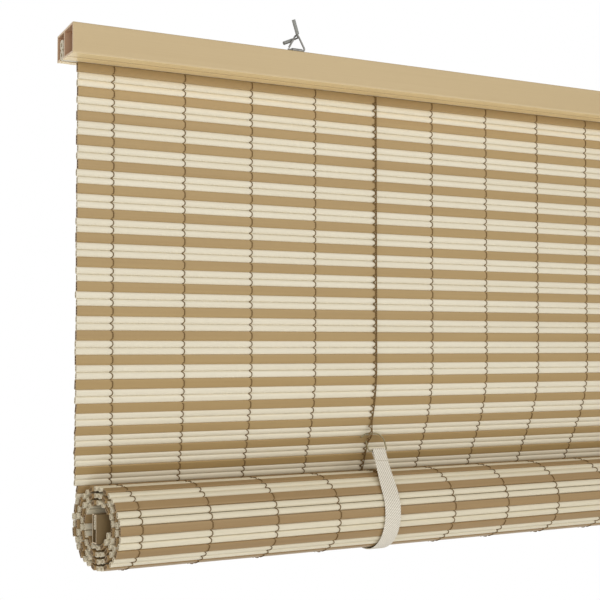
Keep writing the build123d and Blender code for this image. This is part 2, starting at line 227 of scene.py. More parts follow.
def run_lengths(paths: np.ndarray) -> np.ndarray:
    """Distance along a path, or each of a stack of paths, to its points."""
    step = np.linalg.norm(np.diff(paths, axis=-2), axis=-1)
    return np.concatenate([np.zeros_like(step[..., :1]), np.cumsum(step, -1)], -1)


def stretch(start: np.ndarray, end: np.ndarray, first: float, last: float, count: int) -> np.ndarray:
    """Points on the straight way from start to end, from a first to a last share of it."""
    return start + (end - start) * np.linspace(first, last, count)[:, None]


def arc(center: np.ndarray, radius: float, start: float, end: float, count: int) -> np.ndarray:
    """Points on an arc in the plane of Y and Z, from a start to an end angle in radians."""
    turn = np.linspace(start, end, count)
    return center + radius * np.stack([np.cos(turn), np.sin(turn)], -1)


def mesh_piece(name: str, points: np.ndarray, faces: np.ndarray, sharp: float = 40.0) -> Piece:
    """Put arrays of points and four-cornered faces into a new mesh object at the origin.

    Args:
        name: Name of the piece.
        points: Array of corners, three numbers each.
        faces: Array of corner numbers, four for each face.
        sharp: Edges with a turn above this many degrees are shaded sharp.
    Returns:
        The object, linked to the scene.
    """
    mesh = bpy.data.meshes.new(name)
    corners = np.ascontiguousarray(faces, dtype=np.int32)
    mesh.vertices.add(len(points))
    mesh.vertices.foreach_set("co", np.ascontiguousarray(points, dtype=np.float32).ravel())
    mesh.loops.add(corners.size)
    mesh.loops.foreach_set("vertex_index", corners.ravel())
    mesh.polygons.add(len(corners))
    mesh.polygons.foreach_set("loop_start", np.arange(0, corners.size, 4, dtype=np.int32))
    mesh.update(calc_edges=True)
    mesh.validate()
    mesh.shade_smooth()
    mesh.set_sharp_from_angle(angle=math.radians(sharp))
    piece = bpy.data.objects.new(name, mesh)
    bpy.context.scene.collection.objects.link(piece)
    return piece


def settle(piece: Piece, slot: str, replaced: str | None, *materials: bpy.types.Material) -> None:
    """Give a piece its materials, put it under its body's empty and hide the CAD node that it replaces.

    Args:
        piece: The piece.
        slot: Name of its material slot in the part; not used.
        replaced: Name of the CAD node, or None for a piece that is only drawn.
        materials: Its materials in order.
    """
    for material in materials:
        piece.data.materials.append(material)
    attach(piece, Body.SHADE.value)
    if replaced:
        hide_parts(replaced)


def grid_faces(rows: int, columns: int) -> np.ndarray:
    """Faces of a grid of points, row by row, closed round its columns.

    Args:
        rows: Number of rows of points.
        columns: Number of points in a row.
    Returns:
        Array of faces, four corner numbers each.
    """
    row = np.arange(rows - 1)[:, None] * columns
    column = np.arange(columns)[None, :]
    after = (column + 1) % columns
    below = row + columns
    return np.stack([row + column, row + after, below + after, below + column], -1).reshape(-1, 4)


def superellipse(half_width: float, half_height: float, power: float, count: int) -> np.ndarray:
    """Closed outline |u/a|^p + |v/b|^p = 1, which is an ellipse at power 2 and nears a rectangle above 8.

    Args:
        half_width: Half the width, a.
        half_height: Half the height, b.
        power: The power p.
        count: Number of points.
    Returns:
        Array of count points u, v.
    """
    turn = 2 * math.pi * (np.arange(count) + 0.5) / count
    wave = np.stack([np.cos(turn), np.sin(turn)], -1)
    shape = np.sign(wave) * np.abs(wave) ** (2 / power)
    return shape * np.array([half_width, half_height])


def tubes(paths: np.ndarray, radius: float, sides: int) -> tuple[np.ndarray, np.ndarray]:
    """Round tubes along several paths: a circle carried along each, square to its direction.

    Args:
        paths: Array of paths by points by three.
        radius: Radius of the tubes.
        sides: Number of sides.
    Returns:
        Points and faces, with the ends of each tube drawn to a point.
    """
    along = unit(np.gradient(paths, axis=1))
    first = unit(np.cross(along, TUBE_HELPER))
    second = np.cross(along, first)
    turn = 2 * math.pi * np.arange(sides) / sides
    ring = first[..., None, :] * np.cos(turn)[:, None] + second[..., None, :] * np.sin(turn)[:, None]
    count, rows = paths.shape[:2]
    swell = np.ones(rows)
    swell[[0, -1]] = TUBE_TIP
    points = paths[..., None, :] + radius * swell[None, :, None, None] * ring
    faces = grid_faces(rows, sides)[None] + (np.arange(count) * rows * sides)[:, None, None]
    return points.reshape(-1, 3), faces.reshape(-1, 4)


def set_uv(piece: Piece, values: np.ndarray) -> None:
    """Give a piece a UV map from one pair of numbers for each of its points.

    Args:
        piece: The piece.
        values: Array of pairs, one for each point.
    """
    mesh = piece.data
    corner = np.empty(len(mesh.loops), dtype=np.int32)
    mesh.loops.foreach_get("vertex_index", corner)
    layer = mesh.uv_layers.new(name="surface")
    layer.data.foreach_set("uv", np.ascontiguousarray(values[corner], dtype=np.float32).ravel())


# Shader nodes


class NodeBench:
    """Short ways of placing and joining shader nodes in one tree."""

    def __init__(self, tree: bpy.types.NodeTree) -> None:
        """Hold the tree that nodes are placed in."""
        self.tree = tree

    def add(self, kind: str, inputs: dict[str, object] | None = None, **values: object) -> bpy.types.Node:
        """Place a node, set its properties and feed its inputs.

        Args:
            kind: Blender's name of the node's type.
            inputs: What feeds its inputs, by name.
            values: Properties by name.
        Returns:
            The node.
        """
        node = self.tree.nodes.new(kind)
        for name, value in values.items():
            setattr(node, name, value)
        self.fill(node, inputs or {})
        return node

    def fill(self, node: bpy.types.Node, inputs: dict[str, object]) -> None:
        """Feed a node's inputs with sockets, numbers, vectors or colours by name."""
        for label, value in inputs.items():
            self.feed(value, node.inputs[label])

    def feed(self, value: object, target: Socket) -> None:
        """Link a socket to an input, or set the input's own value.

        Args:
            value: A socket, a number, a vector or a colour.
            target: The input.
        """
        if isinstance(value, Socket):
            self.tree.links.new(value, target)
        else:
            target.default_value = (*value, 1.0) if target.type == "RGBA" else value

    def math(self, operation: str, first: object, second: object = 0.0, clamp: bool = False) -> Socket:
        """Place a Math node.

        Args:
            operation: Name of the operation.
            first: A socket or a number.
            second: A socket or a number.
            clamp: Whether the result stays from 0 to 1.
        Returns:
            The result's socket.
        """
        node = self.add("ShaderNodeMath", operation=operation, use_clamp=clamp)
        for value, target in zip((first, second), node.inputs):
            self.feed(value, target)
        return node.outputs[0]

    def linear(self, value: Socket, gain: object, base: object, clamp: bool = False) -> Socket:
        """Work out value times gain, plus base, where gain and base are sockets or numbers."""
        return self.math("ADD", self.math("MULTIPLY", value, gain), base, clamp)

    def only(self, value: Socket, *tests: tuple[str, Socket, float]) -> Socket:
        """Keep a value where every test holds and make it 0 elsewhere.

        Args:
            value: The value's socket.
            tests: The comparing operation, the socket that it looks at and its limit.
        Returns:
            The result's socket.
        """
        for operation, tested, limit in tests:
            value = self.math("MULTIPLY", value, self.math(operation, tested, limit))
        return value

    def mix(self, factor: Socket, first: object, second: object) -> Socket:
        """Mix two colours.

        Args:
            factor: Socket with the share of the second colour.
            first: A socket or a colour.
            second: A socket or a colour.
        Returns:
            The mixed colour's socket.
        """
        node = self.add("ShaderNodeMix", data_type="RGBA")
        for value, number in ((factor, 0), (first, 6), (second, 7)):
            self.feed(value, node.inputs[number])
        return node.outputs[2]

    def place(self) -> Socket:
        """Object coordinates of the shaded point."""
        return self.add("ShaderNodeTexCoord").outputs["Object"]

    def facing(self) -> Socket:
        """True normal of the shaded point."""
        return self.add("ShaderNodeNewGeometry").outputs["True Normal"]

    def split(self, vector: Socket) -> tuple[Socket, ...]:
        """Split a vector into its three parts."""
        return tuple(self.add("ShaderNodeSeparateXYZ", {"Vector": vector}).outputs)

    def noise(self, vector: Socket, scale: Triple, detail: float) -> Socket:
        """Place a noise texture that has its own scale along each axis."""
        scaled = self.add("ShaderNodeMapping", {"Vector": vector, "Scale": scale}).outputs["Vector"]
        return self.add("ShaderNodeTexNoise", {"Vector": scaled, "Scale": 1.0, "Detail": detail}).outputs[0]

    def bump(self, height: Socket, strength: float, distance: float) -> Socket:
        """Place a Bump node, whose distance is in metres, for a bumped normal."""
        inputs = {"Height": height, "Strength": strength, "Distance": distance}
        return self.add("ShaderNodeBump", inputs).outputs["Normal"]


COLOR = "NodeSocketColor"
NUMBER = "NodeSocketFloat"

STREAKS_FINE = (3.0, 900.0, 900.0)  # noise scales along X, Y and Z
STREAKS_BROAD = (4.0, 90.0, 90.0)
STREAK_FINE_SHARE = 0.5
STREAK_BROAD_SHARE = 0.7
STREAK_START = 0.35  # tone above which the vinyl is shaded
STREAK_ROUGHNESS = 0.16
CUT_FACING = 0.8  # share of X in the normal of a cut end

WEAVE_CLOUD = (1.6, 1.6, 1.6)
WEAVE_RIB_SHARE = 0.5
WEAVE_THREAD_SHARE = 0.25
WEAVE_CLOUD_SHARE = 0.5
WEAVE_CONTRAST = 0.8
WEAVE_TONE = 0.36


def new_group(
    name: str, inputs: dict[str, str], outputs: dict[str, str]
) -> tuple[NodeBench, bpy.types.bpy_prop_collection]:
    """Start a shader node group.

    Args:
        name: Name of the group.
        inputs: Socket types by name.
        outputs: Socket types by name.
    Returns:
        A bench for the group's nodes, and what is given to the group.
    """
    group = bpy.data.node_groups.new(name, "ShaderNodeTree")
    for way, sockets in (("INPUT", inputs), ("OUTPUT", outputs)):
        for label, kind in sockets.items():
            group.interface.new_socket(label, in_out=way, socket_type=kind)
    bench = NodeBench(group)
    return bench, bench.add("NodeGroupInput").outputs


@cache
def streak_group() -> bpy.types.NodeTree:
    """Extrusion streaks: fine noise drawn out along X, a broad cloudy tone and a colour for cut ends.

    Returns:
        The group, with outputs Color, Roughness and Height.
    """
    bench, given = new_group(
        "extrusion streaks",
        {"Color": COLOR, "Shade": COLOR, "Cut": COLOR, "Depth": NUMBER, "Rough": NUMBER},
        {"Color": COLOR, "Roughness": NUMBER, "Height": NUMBER},
    )
    fine = bench.noise(bench.place(), STREAKS_FINE, detail=3.0)
    broad = bench.noise(bench.place(), STREAKS_BROAD, detail=2.0)
    tone = bench.linear(fine, STREAK_FINE_SHARE, bench.math("MULTIPLY", broad, STREAK_BROAD_SHARE))
    shaded = bench.math("MULTIPLY", bench.math("SUBTRACT", tone, STREAK_START), given["Depth"], clamp=True)
    side = bench.mix(shaded, given["Color"], given["Shade"])
    cut = bench.math("GREATER_THAN", bench.math("ABSOLUTE", bench.split(bench.facing())[0]), CUT_FACING)
    results = {
        "Color": bench.mix(cut, side, given["Cut"]),
        "Roughness": bench.linear(fine, STREAK_ROUGHNESS, given["Rough"]),
        "Height": tone,
    }
    bench.add("NodeGroupOutput", results)
    return bench.tree


@cache
def weave_group() -> bpy.types.NodeTree:
    """Twill weave on a UV map in millimetres: diagonal ribs crossed by fine threads.

    Returns:
        The group, with outputs Tone and Height.
    """
    bench, given = new_group(
        "twill weave", {"Across": NUMBER, "Along": NUMBER}, {"Tone": NUMBER, "Height": NUMBER}
    )
    place = bench.add("ShaderNodeUVMap").outputs[0]
    u, v, _ = bench.split(place)
    along = bench.math("MULTIPLY", v, given["Along"])
    rib = bench.math("SINE", bench.linear(u, given["Across"], along))
    thread = bench.math("SINE", bench.math("MULTIPLY", along, 2.0))
    height = bench.linear(rib, WEAVE_RIB_SHARE, bench.math("MULTIPLY", thread, WEAVE_THREAD_SHARE))
    height = bench.linear(bench.noise(place, WEAVE_CLOUD, detail=4.0), WEAVE_CLOUD_SHARE, height)
    tone = bench.linear(height, WEAVE_CONTRAST, WEAVE_TONE, clamp=True)
    bench.add("NodeGroupOutput", {"Tone": tone, "Height": height})
    return bench.tree


# Finishes


@dataclass(frozen=True)
class Finish:
    """Base of the finishes: a named material with one Principled shader."""

    name: str

    def material(self) -> bpy.types.Material:
        """Build the material.

        Returns:
            The new material.
        """
        material = bpy.data.materials.new(self.name)
        material.use_nodes = True
        bench = NodeBench(material.node_tree)
        bench.fill(material.node_tree.nodes["Principled BSDF"], self.inputs(bench))
        return material

    def inputs(self, bench: NodeBench) -> dict[str, object]:
        """Place the finish's own nodes, and say what feeds the shader's inputs by name."""
        raise NotImplementedError


@dataclass(frozen=True)
class VinylFinish(Finish):
    """Extruded vinyl with drawn streaks and its own colour where it is cut."""

    color: Triple
    shade: Triple
    cut: Triple
    depth: float = 1.2
    rough: float = 0.36
    bump: float = 0.08
    relief: float = 0.2 * MM
    specular: float = 0.35
    hollow: Triple = (0.25, 0.15, 0.07)

    def inside(self) -> VinylFinish:
        """The same vinyl as it looks in the shade of a hollow."""
        return replace(self, name=f"{self.name}_hollow", color=self.hollow, shade=self.hollow)

    def inputs(self, bench: NodeBench) -> dict[str, object]:
        """Feed the shader from the streaks, as in Finish."""
        given = {"Color": self.color, "Shade": self.shade, "Cut": self.cut}
        given |= {"Depth": self.depth, "Rough": self.rough}
        streaks = bench.add("ShaderNodeGroup", given, node_tree=streak_group()).outputs
        return {
            "Base Color": self.tinted(bench, streaks["Color"]),
            "Roughness": streaks["Roughness"],
            "Normal": bench.bump(streaks["Height"], self.bump, self.relief),
            "Specular IOR Level": self.specular,
        }

    def tinted(self, bench: NodeBench, color: Socket) -> Socket:
        """The streaked colour as it is; the finish of a box rail paints light and shade onto it."""
        return color


@dataclass(frozen=True, kw_only=True)
class BoxVinylFinish(VinylFinish):
    """Vinyl of a box rail, with painted shade in its inner hollows, a painted highlight along its lower front
    corner, and painted light from beneath on its underside, in lengthwise lines.

    The box gives lowest Y, highest Y, lowest Z and highest Z at Y = 0, with the top's rise to the front.
    """

    box: tuple[float, float, float, float]
    rise: float
    # colour of the painted highlight along the lower front corner
    edge_highlight: Triple
    # colour of the painted light from beneath on the underside
    below: Triple
    wall: float = 1.0 * MM
    skin: float = 0.2 * MM
    # width of the painted highlight
    edge_highlight_width: float = 1.7 * MM
    line_pitch: float = 5 * MM
    line_depth: float = 0.2
    facing_limit: float = 0.5

    def tinted(self, bench: NodeBench, color: Socket) -> Socket:
        """Paint shade into the inner hollows, a highlight along the lower front corner and light from beneath
        onto the underside, by their place in the section.

        Args:
            bench: Bench of the material.
            color: Socket with the streaked colour.
        Returns:
            The tinted colour's socket.
        """
        _, y, z = bench.split(bench.place())
        normal_x, _, normal_z = bench.split(bench.facing())
        low_y, high_y, low_z, high_z = self.box
        # painted shade: faces inside the hollows of the box take the hollow colour
        inside = bench.only(
            bench.math("LESS_THAN", bench.math("ABSOLUTE", normal_x), self.facing_limit),
            ("GREATER_THAN", y, low_y + self.wall),
            ("LESS_THAN", y, high_y - self.wall),
            ("GREATER_THAN", z, low_z + self.wall),
            ("LESS_THAN", bench.linear(y, self.rise, z), high_z - self.wall),
        )
        # painted light from beneath on the underside, stronger and weaker in lengthwise lines
        lines = bench.math("SINE", bench.math("MULTIPLY", y, 2 * math.pi / self.line_pitch))
        under = bench.only(
            bench.linear(lines, self.line_depth, 1 - self.line_depth),
            ("LESS_THAN", normal_z, -self.facing_limit),
            ("LESS_THAN", z, low_z + self.skin),
        )
        # painted highlight along the lower front corner, fading out over its width
        from_y = bench.math("POWER", bench.math("SUBTRACT", y, low_y), 2.0)
        from_z = bench.math("POWER", bench.math("SUBTRACT", z, low_z), 2.0)
        gap = bench.math("SQRT", bench.math("ADD", from_y, from_z))
        highlight_share = bench.math("SUBTRACT", 1.0, bench.math("DIVIDE", gap, self.edge_highlight_width), clamp=True)
        # painted shade in the hollows, then painted light on the underside, then the painted highlight
        chamber_shade = bench.mix(inside, color, self.hollow)
        return bench.mix(highlight_share, bench.mix(under, chamber_shade, self.below), self.edge_highlight)


@dataclass(frozen=True)
class WovenFinish(Finish):
    """Twine or webbing: a twill on the piece's own UV map, which is in millimetres."""

    light: Triple
    dark: Triple
    across: float = 2.0
    along: float = 2.0
    bump: float = 0.7
    relief: float = 0.3 * MM
    rough: float = 0.92
    sheen: float = 0.15
    specular: float = 0.15

    def inputs(self, bench: NodeBench) -> dict[str, object]:
        """Feed the shader from the weave, as in Finish."""
        given = {"Across": self.across, "Along": self.along}
        weave = bench.add("ShaderNodeGroup", given, node_tree=weave_group()).outputs
        return {
            "Base Color": bench.mix(weave["Tone"], self.dark, self.light),
            "Roughness": self.rough,
            "Normal": bench.bump(weave["Height"], self.bump, self.relief),
            "Sheen Weight": self.sheen,
            "Specular IOR Level": self.specular,
        }


@dataclass(frozen=True)
class WireFinish(Finish):
    """Plated wire or sheet, or tubing: a cloudy tone with a little relief."""

    light: Triple
    dark: Triple
    metallic: float = 1.0
    rough: float = 0.32
    rough_spread: float = 0.25
    cloud: float = 420.0
    bump: float = 0.1
    relief: float = 0.1 * MM

    def inputs(self, bench: NodeBench) -> dict[str, object]:
        """Feed the shader from cloudy noise, as in Finish."""
        cloudy = bench.noise(bench.place(), (self.cloud, self.cloud, self.cloud), detail=5.0)
        return {
            "Base Color": bench.mix(cloudy, self.dark, self.light),
            "Roughness": bench.linear(cloudy, self.rough_spread, self.rough),
            "Normal": bench.bump(cloudy, self.bump, self.relief),
            "Metallic": self.metallic,
        }


@dataclass(frozen=True)
class FloorFinish(Finish):
    """Matt pale floor that glows a little, so that the shade gets some light from below."""

    color: Triple = (0.9, 0.9, 0.9)
    rough: float = 0.9
    glow: float = 0.25

    def inputs(self, bench: NodeBench) -> dict[str, object]:
        """Plain values, as in Finish."""
        return {
            "Base Color": self.color,
            "Roughness": self.rough,
            "Emission Color": (1.0, 1.0, 1.0),
            "Emission Strength": self.glow,
        }


def srgb(red: int, green: int, blue: int) -> Triple:
    """Turn a screen colour from 0 to 255 into the linear colour that shaders use.

    Args:
        red: Red part.
        green: Green part.
        blue: Blue part.
    Returns:
        The linear colour.
    """
    share = np.array([red, green, blue]) / 255
    linear = np.where(share <= 0.04045, share / 12.92, ((share + 0.055) / 1.055) ** 2.4)
    return tuple(float(value) for value in linear)


RAIL_VINYL = BoxVinylFinish(
    "rail_vinyl",
    srgb(206, 182, 138),
    srgb(199, 174, 130),
    srgb(236, 208, 172),
    bump=0.05,
    # painted shade for the rail's inner hollows
    hollow=srgb(216, 178, 144),
    box=(-50 * MM, 0.0, -13 * MM, 13 * MM),
    rise=0.08,
    # painted highlight along the lower front corner
    edge_highlight=srgb(236, 214, 172),
    # painted light from beneath on the underside
    below=srgb(255, 230, 176),
)
# painted shade: the bottom rail is darkened to the olive of the shadow inside the roll
CORE_VINYL_SHADED = VinylFinish("core_vinyl_painted_shade", srgb(136, 114, 78), srgb(118, 96, 64), srgb(232, 208, 172), bump=0.05)
TAN_VINYL = VinylFinish(
    "tan_vinyl", srgb(182, 154, 105), srgb(166, 136, 90), srgb(160, 131, 90), hollow=srgb(112, 84, 52)
)
# painted shade: a darker copy of the tan vinyl for the rolled slats
TAN_ROLLED_SHADE = replace(TAN_VINYL, name="tan_vinyl_rolled_shade", color=srgb(170, 141, 98), shade=srgb(149, 121, 81))
CREAM_VINYL = VinylFinish(
    "cream_vinyl",
    srgb(240, 231, 208),
    srgb(228, 217, 190),
    srgb(232, 218, 188),
    depth=1.4,
    hollow=srgb(214, 198, 164),
)
# painted shade: a darker copy of the cream vinyl for the rolled slats
CREAM_ROLLED_SHADE = replace(
    CREAM_VINYL, name="cream_vinyl_rolled_shade", color=srgb(234, 224, 198), shade=srgb(220, 208, 178)
)
TWINE = WovenFinish(
    "twine",
    srgb(140, 113, 72),
    srgb(92, 70, 42),
    across=2 * math.pi,
    along=3.2,
    bump=0.5,
    relief=0.2 * MM,
    rough=0.9,
    sheen=0.0,
    specular=0.2,
)
LADDER = replace(TWINE, name="ladder_twine", light=srgb(146, 117, 72), dark=srgb(92, 70, 40))
WEBBING = WovenFinish("webbing", srgb(252, 246, 232), srgb(196, 184, 160))
SEWING = WovenFinish("sewing_thread", srgb(200, 186, 160), srgb(170, 154, 126), along=9.0)
ZINC = WireFinish("zinc_wire", srgb(152, 150, 145), srgb(76, 74, 70))
STEEL = WireFinish("catch_wire", srgb(178, 166, 130), srgb(84, 73, 50), metallic=0.8, rough=0.28)
TUBING = WireFinish("tubing", srgb(160, 160, 154), srgb(102, 102, 96), metallic=0.35, rough=0.4)


# Slats


@dataclass(frozen=True)
class BarShape:
    """Section of a hollow bar: a rounded tube with ribs across its hollow.

    A rib's half thickness and its sink into the walls are shares of the wall.
    """

    half_width: float
    half_thickness: float
    power: float
    wall: float = 1.1 * MM
    ribs: int = 0
    around: int = 24
    rib_half: float = 0.4
    rib_sink: float = 0.2

    def outlines(self) -> tuple[np.ndarray, np.ndarray]:
        """Outer and inner outline of the section.

        Returns:
            Two arrays of points, along and across the mat.
        """
        outer, inner = (
            superellipse(self.half_width - inset, self.half_thickness - inset, self.power, self.around)
            for inset in (0.0, self.wall)
        )
        return outer, inner

    def rib_corners(self) -> np.ndarray:
        """Corners of the ribs, which stand evenly across the hollow and are sunk into its walls.

        Returns:
            Array of ribs by four corners by two.
        """
        half = self.rib_half * self.wall
        reach = self.half_thickness - (1 - self.rib_sink) * self.wall
        corners = np.array([[-half, -reach], [half, -reach], [half, reach], [-half, reach]])
        span = self.half_width - self.wall
        middles = np.linspace(-span, span, self.ribs + 2)[1:-1]
        return corners[None] + np.stack([middles, np.zeros(self.ribs)], -1)[:, None]


def carry(loops: np.ndarray, x: np.ndarray, places: Places) -> np.ndarray:
    """Put section loops at each bar: u runs along the mat, v along its rear normal.

    Args:
        loops: Array of loops by points by two.
        x: X of each loop, an array of bars by loops.
        places: Places of the bars on the mat.
    Returns:
        Array of bars by loops by points by three.
    """
    u, v = loops[None, ..., 0], loops[None, ..., 1]
    y, z, angle = (values[:, None, None] for values in places)
    across = y + u * np.sin(angle) + v * np.cos(angle)
    up = z - u * np.cos(angle) + v * np.sin(angle)
    return np.stack([np.broadcast_to(x[..., None], across.shape), across, up], -1)


def hollow_bars(name: str, shape: BarShape, ends: np.ndarray, places: Places) -> Piece:
    """Carry a bar's outer and inner outline along X, closed by its cut ends, once for each place.

    Args:
        name: Name of the piece.
        shape: The section.
        ends: X of the two ends of each bar.
        places: Places of the bars on the mat.
    Returns:
        The piece, with material slot 0 outside and 1 in the hollows.
    """
    count = len(ends)
    bar_points = 4 * shape.around
    loops = np.stack(shape.outlines())[[0, 0, 1, 1]]
    points = [carry(loops, ends[:, [0, 1, 1, 0]], places).reshape(-1, 3)]
    ring = grid_faces(5, shape.around) % bar_points
    faces = [(ring[None] + (np.arange(count) * bar_points)[:, None, None]).reshape(-1, 4)]
    slots = [np.tile(np.repeat([0, 0, 1, 0], shape.around), count)]
    box = np.concatenate([grid_faces(2, 4), [[3, 2, 1, 0], [4, 5, 6, 7]]])
    base = len(points[0])
    for corners in shape.rib_corners():
        points.append(carry(np.stack([corners, corners]), ends, places).reshape(-1, 3))
        faces.append((box[None] + (base + np.arange(count) * 8)[:, None, None]).reshape(-1, 4))
        slots.append(np.ones(len(box) * count, int))
        base += len(points[-1])
    piece = mesh_piece(name, np.concatenate(points), np.concatenate(faces))
    piece.data.polygons.foreach_set("material_index", np.concatenate(slots).astype(np.int32))
    return piece


@dataclass
class SlatMat:
    """All the slats of the mat, as rounded hollow extrusions.

    Pairs are for the hanging and the rolled slats: the swell widens a drawn slat on each side beyond its
    CAD solid, and its ends stand back by the inset and by up to the stagger.
    """

    route: MatRoute = ROUTE
    length: float = 1220 * MM
    tan: BarShape = BarShape(4.2 * MM, 2.5 * MM, 8.0, ribs=2)
    cream: BarShape = BarShape(3.5 * MM, 2.5 * MM, 2.3, ribs=1)
    gap: float = 0.53 * MM
    repeats: int = 48
    tan_swell: tuple[float, float] = (0.75 * MM, 0.45 * MM)
    cream_swell: tuple[float, float] = (0.27 * MM, 0.05 * MM)
    inset: tuple[float, float] = (0.0, 2.0 * MM)
    stagger: tuple[float, float] = (1.2 * MM, 1.4 * MM)
    seed: int = 11

    @property
    def repeat_length(self) -> float:
        """Length of one broad and two narrow slats with their gaps."""
        return 2 * self.tan.half_width + 4 * self.cream.half_width + 3 * self.gap

    def tan_places(self) -> np.ndarray:
        """Distances along the mat to the broad slats' middles."""
        return np.arange(self.repeats) * self.repeat_length + self.tan.half_width

    def cream_places(self) -> np.ndarray:
        """Distances along the mat to the narrow slats' middles."""
        first = 2 * self.tan.half_width + self.gap + self.cream.half_width
        pair = first + np.array([0, 2 * self.cream.half_width + self.gap])
        return (np.arange(self.repeats)[:, None] * self.repeat_length + pair).ravel()

    def build(self) -> list[Piece]:
        """Build the four groups of slats in place of their CAD solids.

        Returns:
            The four pieces.
        """
        pieces = []
        generator = np.random.default_rng(self.seed)
        hanging_repeats = self.route.hanging_length // self.repeat_length
        # the rolled slats take the darker copies of the vinyl: painted shade on the roll
        for kind, shape, swell, places, finishes in (
            ("tan", self.tan, self.tan_swell, self.tan_places(), (TAN_VINYL, TAN_ROLLED_SHADE)),
            ("cream", self.cream, self.cream_swell, self.cream_places(), (CREAM_VINYL, CREAM_ROLLED_SHADE)),
        ):
            hanging = places < hanging_repeats * self.repeat_length
            for group, chosen, wider, inset, stagger, finish in zip(
                ("hanging", "rolled"), (hanging, ~hanging), swell, self.inset, self.stagger, finishes
            ):
                drawn = replace(shape, half_width=shape.half_width + wider)
                back = inset + stagger * generator.random((chosen.sum(), 2))
                ends = self.ends(places[chosen], back)
                piece = hollow_bars(f"{group}_{kind}_mat", drawn, ends, self.route.place(places[chosen]))
                materials = finish.material(), finish.inside().material()
                settle(piece, f"{kind}_vinyl", f"{group}_{kind}_slats", *materials)
                pieces.append(piece)
        return pieces

    def ends(self, places: np.ndarray, back: np.ndarray) -> np.ndarray:
        """X of the two ends of slats at places along the mat, which stand back from the mat's edges."""
        start = -self.length / 2 + self.route.creep(places, self.route.place(places)[0])
        return start[:, None] + np.array([0, self.length]) + back * np.array([1, -1])


@dataclass
class LockRods:
    """The rods that lock the mat's upper end in the headrail and its lower end in the bottom rail."""

    top: BarShape = BarShape(5 * MM, 5 * MM, 2.6, wall=3.0 * MM)
    bottom: BarShape = BarShape(3.5 * MM, 2.5 * MM, 2.9, ribs=1)

    def build(self) -> list[Piece]:
        """Build the rods in place of their CAD solids.

        Returns:
            The four pieces.
        """
        materials = CREAM_VINYL.material(), CREAM_VINYL.inside().material()
        pieces = []
        for place, shape in (("top", self.top), ("bottom", self.bottom)):
            for level in ("upper", "lower"):
                node = f"{place}_rod_{level}"
                low, high = (np.array(corner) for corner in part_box(node))
                _, y, z = (low + high)[:, None] / 2
                ends = np.array([[low[0], high[0]]])
                piece = hollow_bars(f"{place}_lock_{level}", shape, ends, (y, z, np.zeros(1)))
                settle(piece, "cream_vinyl", node, *materials)
                pieces.append(piece)
        return pieces


# Twines


